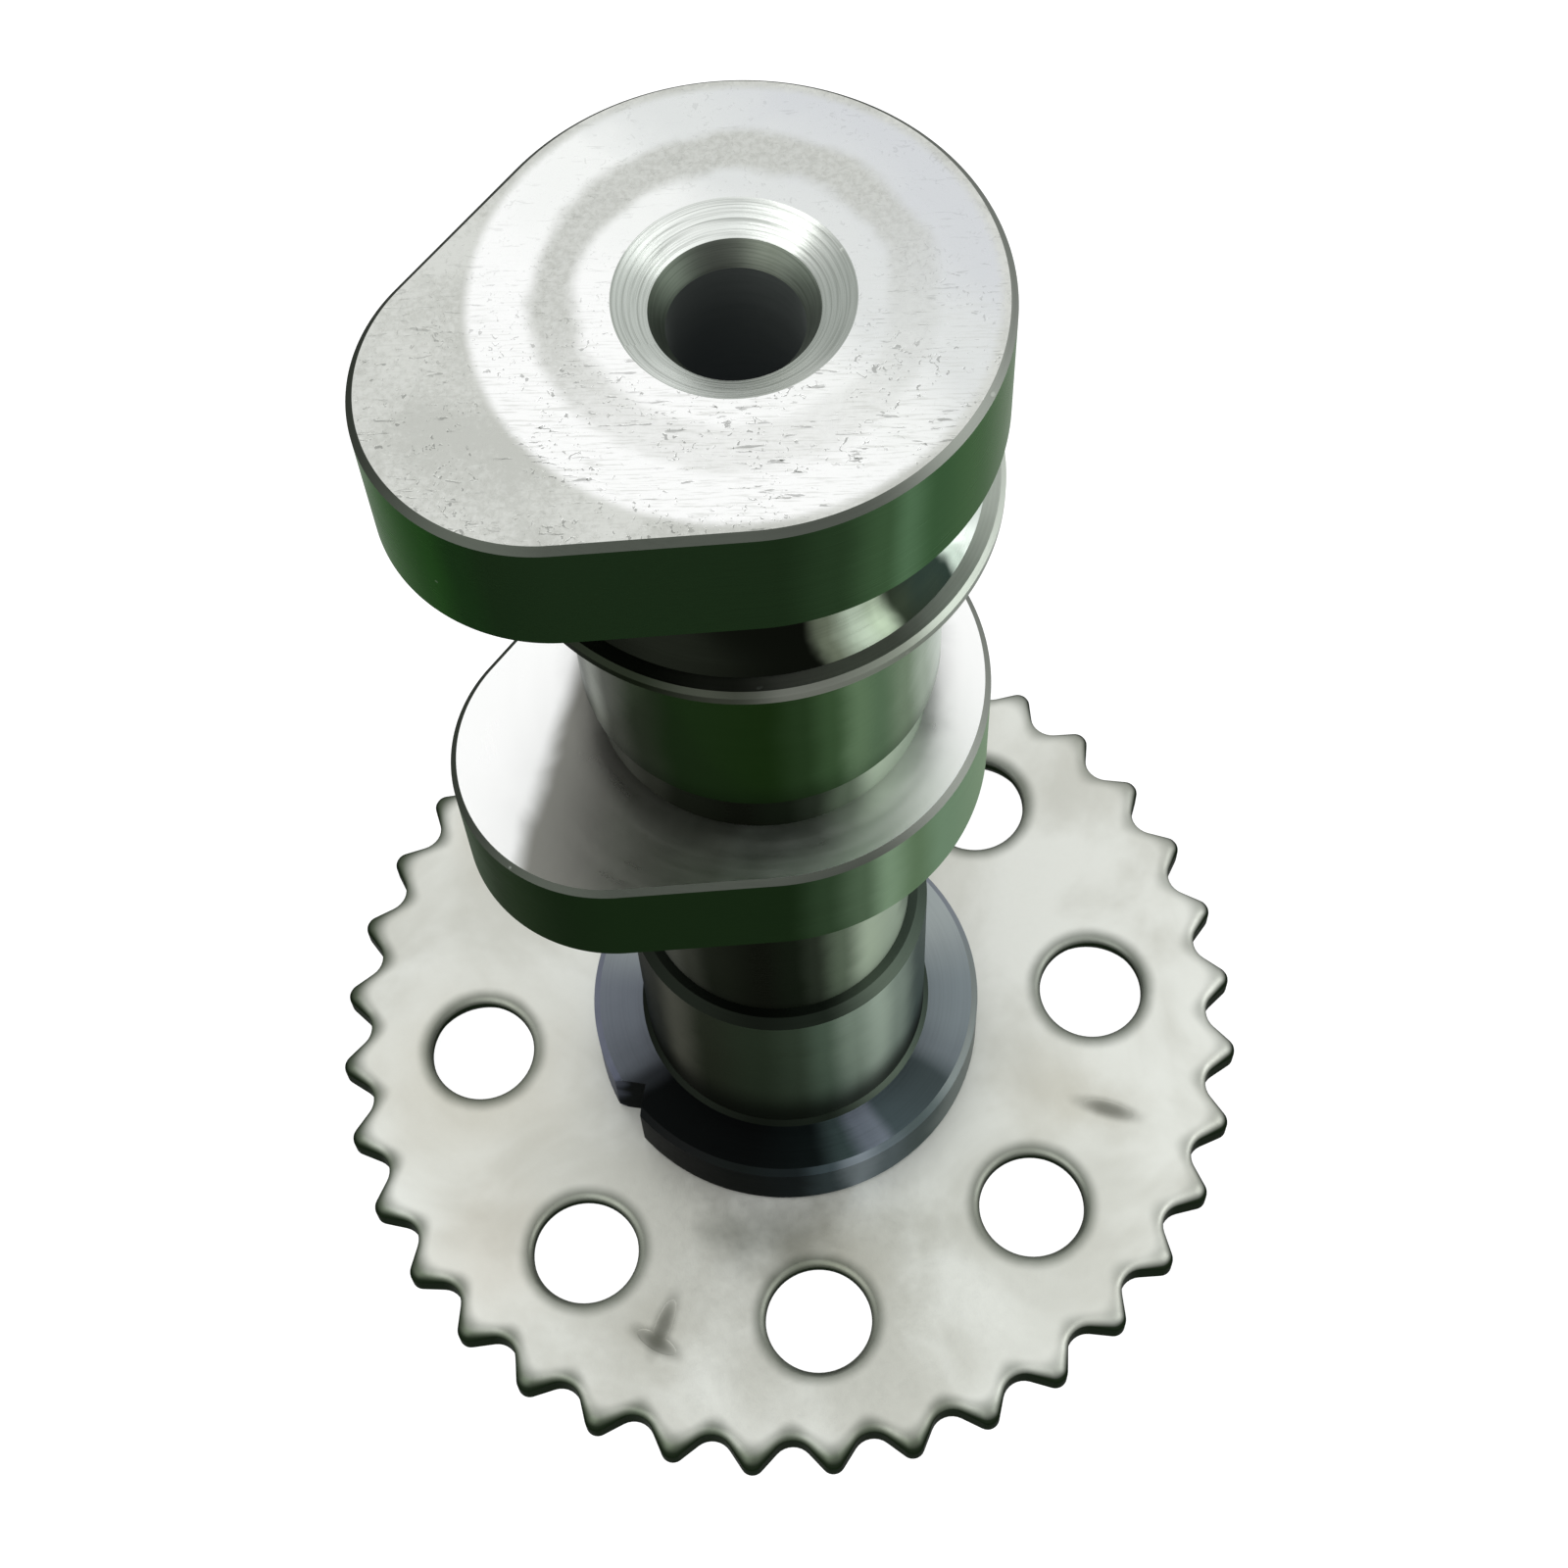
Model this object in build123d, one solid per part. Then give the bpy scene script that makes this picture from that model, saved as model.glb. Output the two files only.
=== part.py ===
from build123d import *
import math
import os

# A short overhead camshaft, standing on its chain sprocket with the shaft pointing up (+Z).
# The origin is on the shaft axis, at the underside of the sprocket. Both cam noses point to -X.
# Sizes are in millimetres and angles in degrees.

# Chain sprocket
chain_pitch = 6.35
chain_bush_diameter = 3.3
tooth_seat_clearance = 0.03
tooth_count = 36
tooth_tip_rise = 0.6
tooth_flank_angle = 43.0
tip_bevel_width = 1.3
tip_bevel_height = 0.8
sprocket_thickness = 2.8
lightening_hole_count = 8
lightening_hole_diameter = 8.4
lightening_hole_circle = 50.8

# Timing marks pressed into the upper face of the sprocket
timing_mark_reach = 29.4
timing_mark_depth = 0.25
timing_mark_width = 1.0
dash_mark_length = 3.9
stem_mark_length = 3.5
bar_mark_length = 3.9
stem_mark_tilt = 10.0

# Shaft lengths, from the sprocket upwards
flange_thickness = 6.0
lower_journal_length = 20.2
lower_neck_length = 23.5
lobe_width = 9.5
relief_length = 4.2
upper_journal_length = 19.2
collar_thickness = 1.2
upper_neck_length = 7.0

# Shaft diameters, and the steps between neighbouring diameters
spigot_diameter = 19.0
lower_journal_diameter = 22.4
upper_journal_diameter = 23.0
flange_projection = 4.4
collar_projection = 3.35
lower_neck_undercut = 1.4
relief_undercut = 0.7
upper_neck_undercut = 1.1
collar_rim_width = 1.2
upper_neck_sweep_height = 5.4

# Edge breaks and inside corners of the shaft
flange_edge_chamfer = 0.5
spigot_edge_chamfer = 0.4
collar_edge_chamfer = 0.3
inside_corner_chamfer = 0.4
neck_foot_chamfer = 0.9

# Cam lobes
base_circle_diameter = 29.7
lobe_lift = 6.45
nose_radius = 10.3
lobe_edge_chamfer = 0.4

# Notch in the rim of the flange
flange_notch_depth = 1.9
flange_notch_opening = 90.0

# Centre holes and the bore of the hollow shaft
shaft_bore_diameter = 7.5
centre_cone_widening = 1.7
centre_cone_angle = 60.0
end_recess_widening = 3.8
end_recess_angle = 120.0
shaft_bore_depth = 62.0
drill_point_angle = 118.0
lower_centre_diameter = 8.0

# Directions around the axis, seen from above and measured from the cam noses
nose_direction = 180.0
hole_angle_from_nose = -22.75
notch_angle_from_nose = 7.0
dash_angle_from_nose = 134.3
cross_angle_from_nose = 40.9

# Heights of the shoulders, added up from the lengths
flange_bottom = sprocket_thickness
flange_top = flange_bottom + flange_thickness
lower_journal_top = flange_top + lower_journal_length
lower_lobe_bottom = lower_journal_top + lower_neck_length
lower_lobe_top = lower_lobe_bottom + lobe_width
relief_top = lower_lobe_top + relief_length
upper_journal_top = relief_top + upper_journal_length
collar_top = upper_journal_top + collar_thickness
upper_lobe_bottom = collar_top + upper_neck_length
upper_lobe_top = upper_lobe_bottom + lobe_width

# Radii
spigot_radius = spigot_diameter / 2
lower_journal_radius = lower_journal_diameter / 2
flange_radius = lower_journal_radius + flange_projection
lower_neck_radius = lower_journal_radius - lower_neck_undercut
upper_journal_radius = upper_journal_diameter / 2
relief_radius = upper_journal_radius - relief_undercut
collar_radius = upper_journal_radius + collar_projection
collar_rim_inside = collar_radius - collar_rim_width
upper_neck_radius = upper_journal_radius - upper_neck_undercut
base_radius = base_circle_diameter / 2
nose_offset = base_radius + lobe_lift - nose_radius
bore_radius = shaft_bore_diameter / 2


def polar(radius, angle):
    """A point in the XY plane from its radius and its angle in degrees."""
    return (radius * math.cos(math.radians(angle)), radius * math.sin(math.radians(angle)))


def cone_depth(large_radius, small_radius, included_angle):
    """The height of a cone between two radii."""
    return (large_radius - small_radius) / math.tan(math.radians(included_angle / 2))


def cam_outline():
    """Base circle and nose circle joined by straight flanks, with the nose on +X."""
    tangent = math.degrees(math.acos((base_radius - nose_radius) / nose_offset))
    base_left = polar(base_radius, tangent)
    base_right = polar(base_radius, -tangent)
    nose_left = (nose_offset + polar(nose_radius, tangent)[0], polar(nose_radius, tangent)[1])
    nose_right = (nose_left[0], -nose_left[1])
    with BuildSketch() as outline:
        with BuildLine():
            ThreePointArc(base_left, (-base_radius, 0), base_right)
            Line(base_right, nose_right)
            ThreePointArc(nose_right, (nose_offset + nose_radius, 0), nose_left)
            Line(nose_left, base_left)
        make_face()
    return outline.sketch


def cam_lobe(bottom):
    """One lobe of the full width, with both edges broken, turned to the nose direction."""
    lobe = extrude(cam_outline(), amount=lobe_width)
    rims = lobe.faces().sort_by(Axis.Z)[0].edges() + lobe.faces().sort_by(Axis.Z)[-1].edges()
    lobe = chamfer(rims, lobe_edge_chamfer)
    return Pos(0, 0, bottom) * Rot(0, 0, nose_direction) * lobe


def corner(sketch, radius, height):
    """The corner of a half section that lies at a radius and a height."""
    return sketch.vertices().sort_by_distance((radius, height, 0))[0]


def turned_shaft():
    """The shaft without its lobes and bore, as a half section spun round the axis."""
    sweep_end = (upper_neck_radius, collar_top + upper_neck_sweep_height)
    steps = [
        (0, 0),
        (spigot_radius, 0),
        (spigot_radius, flange_bottom),
        (flange_radius, flange_bottom),
        (flange_radius, flange_top),
        (lower_journal_radius, flange_top),
        (lower_journal_radius, lower_journal_top),
        (lower_neck_radius, lower_journal_top),
        (lower_neck_radius, lower_lobe_bottom),
        (relief_radius, lower_lobe_bottom),
        (relief_radius, relief_top),
        (upper_journal_radius, relief_top),
        (upper_journal_radius, upper_journal_top),
        (collar_radius, upper_journal_top),
        (collar_radius, collar_top),
        (collar_rim_inside, collar_top),
    ]
    with BuildSketch(Plane.XZ) as section:
        with BuildLine():
            Polyline(*steps)
            TangentArc(sweep_end, (collar_rim_inside, collar_top), tangent=(0, -1))
            Polyline(sweep_end, (upper_neck_radius, upper_lobe_top), (0, upper_lobe_top), (0, 0))
        make_face()
        breaks = [
            (spigot_radius, 0, spigot_edge_chamfer),
            (flange_radius, flange_bottom, flange_edge_chamfer),
            (flange_radius, flange_top, flange_edge_chamfer),
            (lower_journal_radius, lower_journal_top, lower_neck_undercut / 2),
            (upper_journal_radius, relief_top, relief_undercut / 2),
            (collar_radius, upper_journal_top, collar_edge_chamfer),
            (collar_radius, collar_top, collar_edge_chamfer),
            (lower_journal_radius, flange_top, inside_corner_chamfer),
            (lower_neck_radius, lower_lobe_bottom, neck_foot_chamfer),
            (upper_journal_radius, upper_journal_top, inside_corner_chamfer),
        ]
        for radius, height, size in breaks:
            chamfer(corner(section, radius, height), size)
    return revolve(section.sketch, Axis.Z)


def end_hole():
    """The recessed centre hole in the upper end face, and the drilled bore below it."""
    cone_radius = bore_radius + centre_cone_widening / 2
    recess_radius = cone_radius + end_recess_widening / 2
    cone_top = upper_lobe_top - cone_depth(recess_radius, cone_radius, end_recess_angle)
    bore_top = cone_top - cone_depth(cone_radius, bore_radius, centre_cone_angle)
    bore_bottom = upper_lobe_top - shaft_bore_depth
    drill_tip = bore_bottom - cone_depth(bore_radius, 0, drill_point_angle)
    with BuildSketch(Plane.XZ) as section:
        with BuildLine():
            Polyline(
                (0, upper_lobe_top),
                (recess_radius, upper_lobe_top),
                (cone_radius, cone_top),
                (bore_radius, bore_top),
                (bore_radius, bore_bottom),
                (0, drill_tip),
                close=True,
            )
        make_face()
    return revolve(section.sketch, Axis.Z)


def lower_centre():
    """The plain centre hole in the lower end of the shaft."""
    radius = lower_centre_diameter / 2
    depth = cone_depth(radius, 0, centre_cone_angle)
    return Pos(0, 0, depth / 2) * Cone(radius, 0, depth)


def flange_notch():
    """A V-shaped notch through the rim of the flange."""
    depth = flange_notch_depth + flange_radius
    half_width = depth * math.tan(math.radians(flange_notch_opening / 2))
    with BuildSketch() as outline:
        with BuildLine():
            Polyline((0, 0), (depth, half_width), (depth, -half_width), close=True)
        make_face()
    wedge = extrude(outline.sketch, amount=flange_thickness)
    notch_turn = nose_direction + notch_angle_from_nose
    return Rot(0, 0, notch_turn) * Pos(flange_radius - flange_notch_depth, 0, flange_bottom) * wedge


def make_camshaft():
    shaft = turned_shaft()
    shaft += cam_lobe(lower_lobe_bottom)
    shaft += cam_lobe(upper_lobe_bottom)
    shaft -= flange_notch()
    shaft -= end_hole()
    shaft -= lower_centre()
    return shaft


def tooth_form():
    """The tooth space on +X and the tooth beside it: root, seat end, tip start and tip radii."""
    half_step = 180 / tooth_count
    pitch_radius = chain_pitch / 2 / math.sin(math.radians(half_step))
    seat_radius = chain_bush_diameter / 2 + tooth_seat_clearance
    tip_radius = pitch_radius + tooth_tip_rise
    seat_centre = Vector(pitch_radius, 0)
    into_tooth = Vector(*polar(1, 90 + tooth_flank_angle))
    seat_end = seat_centre + into_tooth * seat_radius
    lean = Vector(*polar(1, half_step)).dot(into_tooth)
    tip_round = (tip_radius * lean - seat_end.dot(into_tooth)) / (1 + lean)
    tip_start = Vector(*polar(tip_radius - tip_round, half_step)) - into_tooth * tip_round
    return pitch_radius - seat_radius, seat_end, tip_start, tip_radius


def sprocket_outline():
    """The toothed rim: round seats for the chain bushes and round tips, joined by tangents."""
    root_radius, seat_end, tip_start, tip_radius = tooth_form()
    step = 360 / tooth_count
    hole_direction = nose_direction + hole_angle_from_nose
    seat_reach = seat_end.length
    seat_turn = math.degrees(math.atan2(seat_end.Y, seat_end.X))
    tip_reach = tip_start.length
    tip_turn = math.degrees(math.atan2(tip_start.Y, tip_start.X))
    with BuildSketch() as outline:
        with BuildLine():
            for tooth in range(tooth_count):
                space = hole_direction + (tooth + 0.5) * step
                seat_from = polar(seat_reach, space - seat_turn)
                seat_to = polar(seat_reach, space + seat_turn)
                tip_from = polar(tip_reach, space + tip_turn)
                tip_to = polar(tip_reach, space + step - tip_turn)
                next_seat = polar(seat_reach, space + step - seat_turn)
                ThreePointArc(seat_from, polar(root_radius, space), seat_to)
                Line(seat_to, tip_from)
                ThreePointArc(tip_from, polar(tip_radius, space + step / 2), tip_to)
                Line(tip_to, next_seat)
        make_face()
    return outline.sketch


def mark_groove(length):
    """A straight groove, centred on the origin, that cuts the upper face."""
    groove = extrude(Rectangle(length, timing_mark_width), amount=timing_mark_depth)
    return Pos(0, 0, sprocket_thickness - timing_mark_depth) * groove


def timing_marks():
    """A radial dash, and a short stem on a cross bar that leans a little to one side."""
    dash_centre = timing_mark_reach - dash_mark_length / 2
    dash_place = Rot(0, 0, nose_direction + dash_angle_from_nose) * Pos(dash_centre, 0, 0)
    cross_place = Rot(0, 0, nose_direction + cross_angle_from_nose) * Pos(timing_mark_reach, 0, 0)
    cross_place *= Rot(0, 0, stem_mark_tilt)
    stem_centre = (timing_mark_width - stem_mark_length) / 2
    return [
        dash_place * mark_groove(dash_mark_length),
        cross_place * Pos(stem_centre, 0, 0) * mark_groove(stem_mark_length),
        cross_place * Rot(0, 0, 90) * mark_groove(bar_mark_length),
    ]


def bevelled_blank():
    """A round blank with the bevel that is turned on the upper side of the tooth tips."""
    tip_radius = tooth_form()[3]
    blank_radius = tip_radius + tip_bevel_width
    bevel_foot = sprocket_thickness - 2 * tip_bevel_height
    with BuildSketch(Plane.XZ) as section:
        with BuildLine():
            Polyline(
                (0, 0),
                (blank_radius, 0),
                (blank_radius, bevel_foot),
                (tip_radius - tip_bevel_width, sprocket_thickness),
                (0, sprocket_thickness),
                close=True,
            )
        make_face()
    return revolve(section.sketch, Axis.Z)


def drill(radius):
    """A round space through the whole thickness of the sprocket."""
    return Cylinder(radius, sprocket_thickness, align=(Align.CENTER, Align.CENTER, Align.MIN))


def make_sprocket():
    plate = extrude(sprocket_outline(), amount=sprocket_thickness) & bevelled_blank()
    plate -= drill(spigot_radius)
    hole_direction = nose_direction + hole_angle_from_nose
    for hole in range(lightening_hole_count):
        turn = Rot(0, 0, hole_direction + hole * 360 / lightening_hole_count)
        plate -= turn * Pos(lightening_hole_circle / 2, 0, 0) * drill(lightening_hole_diameter / 2)
    for mark in timing_marks():
        plate -= mark
    return plate


os.makedirs("parts", exist_ok=True)
export_step(make_camshaft(), "parts/camshaft.step")
export_step(make_sprocket(), "parts/chain_sprocket.step")
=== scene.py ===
import math
import bmesh
import bpy
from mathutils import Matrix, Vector


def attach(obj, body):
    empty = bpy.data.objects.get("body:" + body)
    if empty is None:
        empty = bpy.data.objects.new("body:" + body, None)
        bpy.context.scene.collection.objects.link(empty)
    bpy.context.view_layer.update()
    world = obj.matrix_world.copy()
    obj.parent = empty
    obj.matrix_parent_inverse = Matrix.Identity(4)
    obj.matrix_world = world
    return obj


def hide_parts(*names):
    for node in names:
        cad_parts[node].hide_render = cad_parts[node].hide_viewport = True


# A short camshaft standing on its chain sprocket, seen from above on a white table.
# Lengths in the dictionaries are in millimetres, angles in degrees, colours from 0 to 255.
# The table and the lamps are in metres.

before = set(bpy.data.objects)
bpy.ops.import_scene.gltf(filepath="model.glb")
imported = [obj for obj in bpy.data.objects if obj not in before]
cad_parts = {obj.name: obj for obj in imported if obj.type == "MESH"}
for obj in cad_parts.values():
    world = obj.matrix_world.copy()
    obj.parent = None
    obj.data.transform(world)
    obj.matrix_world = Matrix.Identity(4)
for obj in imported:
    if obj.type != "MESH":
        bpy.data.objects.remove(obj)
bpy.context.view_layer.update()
mm = 0.001
viewTurn = 28.3  # how far the viewer stands round the axis, in degrees


def linear(colour):
    return [((c / 255 + 0.055) / 1.055) ** 2.4 if c > 10 else c / 255 / 12.92 for c in colour] + [1.0]


# Shader maths: a Wire is one output of a node, and a sum of wires adds a Math node

class Wire:
    def __init__(self, paint, socket):
        self.paint = paint
        self.socket = socket

    def maths(self, operation, *values):
        return self.paint.node("ShaderNodeMath", {"operation": operation}, dict(enumerate(values)))

    def __add__(self, other):
        return self.maths("ADD", self, other)

    def __radd__(self, other):
        return self.maths("ADD", other, self)

    def __sub__(self, other):
        return self.maths("SUBTRACT", self, other)

    def __rsub__(self, other):
        return self.maths("SUBTRACT", other, self)

    def __mul__(self, other):
        return self.maths("MULTIPLY", self, other)

    def __rmul__(self, other):
        return self.maths("MULTIPLY", other, self)

    def __truediv__(self, other):
        return self.maths("DIVIDE", self, other)

    def __pow__(self, other):
        return self.maths("POWER", self, other)

    def rise(self, start, end):  # 0 below start, 1 above end, smooth between
        settings = {"interpolation_type": "SMOOTHSTEP"}
        return self.paint.node("ShaderNodeMapRange", settings, {0: self, 1: start, 2: end, 3: 0.0, 4: 1.0})

    def band(self, start, end, soft):  # 1 between start and end
        return self.rise(start - soft, start + soft) * (1 - self.rise(end - soft, end + soft))


class Paint:
    def __init__(self, name):
        self.material = bpy.data.materials.new(name)
        self.material.use_nodes = True
        self.tree = self.material.node_tree
        self.shader = self.tree.nodes["Principled BSDF"]

    def plug(self, socket, value):
        if isinstance(value, Wire):
            self.tree.links.new(value.socket, socket)
        else:
            socket.default_value = value

    def node(self, kind, settings=None, inputs=None, output=0):
        made = self.tree.nodes.new(kind)
        for name, value in (settings or {}).items():
            setattr(made, name, value)
        for name, value in (inputs or {}).items():
            self.plug(made.inputs[name], value)
        return Wire(self, made.outputs[output])

    def place(self, turn=0):  # object coordinates in millimetres, turned round the axis
        inputs = {
            "Vector": self.node("ShaderNodeTexCoord", output="Object"),
            "Scale": [1 / mm] * 3,
            "Rotation": [0, 0, math.radians(turn)],
        }
        return self.node("ShaderNodeMapping", None, inputs)

    def parts(self, vector):
        split = self.node("ShaderNodeSeparateXYZ", None, {0: vector})
        return [Wire(self, s) for s in split.socket.node.outputs]

    def joined(self, x, y, z):
        return self.node("ShaderNodeCombineXYZ", None, {0: x, 1: y, 2: z})

    def stretched(self, vector, factors):
        return self.node("ShaderNodeVectorMath", {"operation": "MULTIPLY"}, {0: vector, 1: factors})

    def cosine(self, angle):
        return self.node("ShaderNodeMath", {"operation": "COSINE"}, {0: angle})

    def noise(self, vector, scale, detail=2.0, rough=0.5, warp=0.0):
        inputs = {"Vector": vector, "Scale": scale, "Detail": detail, "Roughness": rough, "Distortion": warp}
        return self.node("ShaderNodeTexNoise", None, inputs)

    def specks(self, vector, scale, size):  # 1 inside round spots, one in each cell
        cells = self.node("ShaderNodeTexVoronoi", {"feature": "F1"}, {"Vector": vector, "Scale": scale})
        return 1 - cells.rise(size * 0.6, size)

    def blend(self, factor, first, second):
        return self.node("ShaderNodeMix", {"data_type": "RGBA"}, {0: factor, 6: first, 7: second}, output=2)

    def ramp(self, wire, stops):  # colours that follow each other along a wire
        colour = linear(stops[0][1])
        for before, after in zip(stops, stops[1:]):
            colour = self.blend(wire.rise(before[0], after[0]), colour, linear(after[1]))
        return colour

    def sideways(self, vector):  # how far it points to the viewer's right and away, from -1 to 1
        settings = {"rotation_type": "Z_AXIS"}
        inputs = {"Vector": vector, "Angle": math.radians(viewTurn)}
        turned = self.node("ShaderNodeVectorRotate", settings, inputs)
        x, y, z = self.parts(turned)
        length = (x * x + y * y) ** 0.5
        return x / length, y / length

    def bump(self, height, depth, strength=1.0):  # depth in millimetres
        inputs = {"Height": height, "Distance": depth * mm, "Strength": strength}
        return self.node("ShaderNodeBump", None, inputs)

    def finish(self, colour, rough, metal=1.0, normal=None, edge=1.0, shine=0.5):
        self.plug(self.shader.inputs["Specular Tint"], [edge, edge, edge, 1.0])
        self.plug(self.shader.inputs["Specular IOR Level"], shine)
        self.plug(self.shader.inputs["Base Color"], colour)
        self.plug(self.shader.inputs["Roughness"], rough)
        self.plug(self.shader.inputs["Metallic"], metal)
        if normal is not None:
            self.plug(self.shader.inputs["Normal"], normal)
        return self.material


# One finish for every turned, ground or black surface of the shaft

def steel(name, recipe):
    paint = Paint(name)
    spot = paint.place()
    x, y, z = paint.parts(spot)
    radius = (x * x + y * y) ** 0.5
    turn = paint.node("ShaderNodeMath", {"operation": "ARCTAN2"}, {0: y, 1: x})
    grooves = paint.joined(radius * recipe["lines"], z * recipe["lines"], turn * 0.8)
    lines = paint.noise(grooves, 1.0, 3.0, 0.6)
    patches = paint.noise(spot, recipe["patch"], 3.0, 0.55, 0.4)
    if recipe["follows"] == "normal":
        side, back = paint.sideways(paint.node("ShaderNodeNewGeometry", output="Normal"))
    elif recipe["follows"] == "place":
        side, back = paint.sideways(spot)
    else:
        side, back, up = paint.parts(paint.place(viewTurn))
        side = side - back * recipe["slant"]
    side = side + (patches - 0.5) * recipe["wander"]
    # painted reflections and shade: each tone is set by where the face turns, as seen from viewTurn
    colour = paint.ramp(side, recipe["stops"])
    if recipe["back"]:
        share = back.rise(recipe["backFrom"], recipe["backFull"])
        colour = paint.blend(share, colour, linear(recipe["back"]))
    # painted shade: darker towards the foot of the wall, in the dark tone
    if recipe["footShade"]:
        bottom, top, share = recipe["footShade"]
        colour = paint.blend((1 - z.rise(bottom, top)) * share, colour, linear(recipe["dirt"]))
    # painted shade: darker close to the shaft on the faces round its root, in the dark tone
    if recipe["rootShade"]:
        inner, outer, share = recipe["rootShade"]
        share = (1 - (radius + patches * 3.0).rise(inner, outer)) * share
        colour = paint.blend(share, colour, linear(recipe["dirt"]))
    # the turning lines take the same dark tone
    colour = paint.blend((1 - lines.rise(0.3, 0.6)) * recipe["lineShade"], colour, linear(recipe["dirt"]))
    grain = paint.noise(spot, 3.1, 4.0, 0.7)
    nick = paint.specks(paint.stretched(spot, (0.7, 1.1, 1.0)), recipe["nickScale"], recipe["nickSize"])
    nick = nick * paint.noise(spot, 0.35).rise(0.5, 0.62) * recipe["nick"]
    colour = paint.blend(nick, colour, linear(recipe["nickColour"]))
    rough = recipe["rough"] + (patches - 0.5) * 0.12 + (lines - 0.5) * recipe["lineRough"]
    height = lines * recipe["lineDepth"] + grain * recipe["grainDepth"] - nick * 0.05
    # a faint glow, painted light, where a finish has one
    paint.plug(paint.shader.inputs["Emission Color"], linear(recipe["glow"]))
    paint.plug(paint.shader.inputs["Emission Strength"], 1.0)
    return paint.finish(colour, rough, recipe["metal"], paint.bump(height, 1.0, 0.6), recipe["edge"], 0.0)


def look(stops, **changes):
    plain = {
        "stops": stops, "follows": "place", "slant": 0.0, "wander": 0.12, "rough": 0.3, "edge": 0.45,
        "metal": 1.0, "glow": (0, 0, 0), "back": None, "backFrom": 0.25, "backFull": 0.8,
        "patch": 0.16, "lines": 6.0, "lineRough": 0.15, "lineDepth": 0.003, "lineShade": 0.08,
        "footShade": None, "rootShade": None, "dirt": (14, 16, 13), "grainDepth": 0.004,
        "nick": 0.4, "nickScale": 0.6, "nickSize": 0.1, "nickColour": (200, 206, 198),
    }
    plain.update(changes)
    return plain
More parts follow.
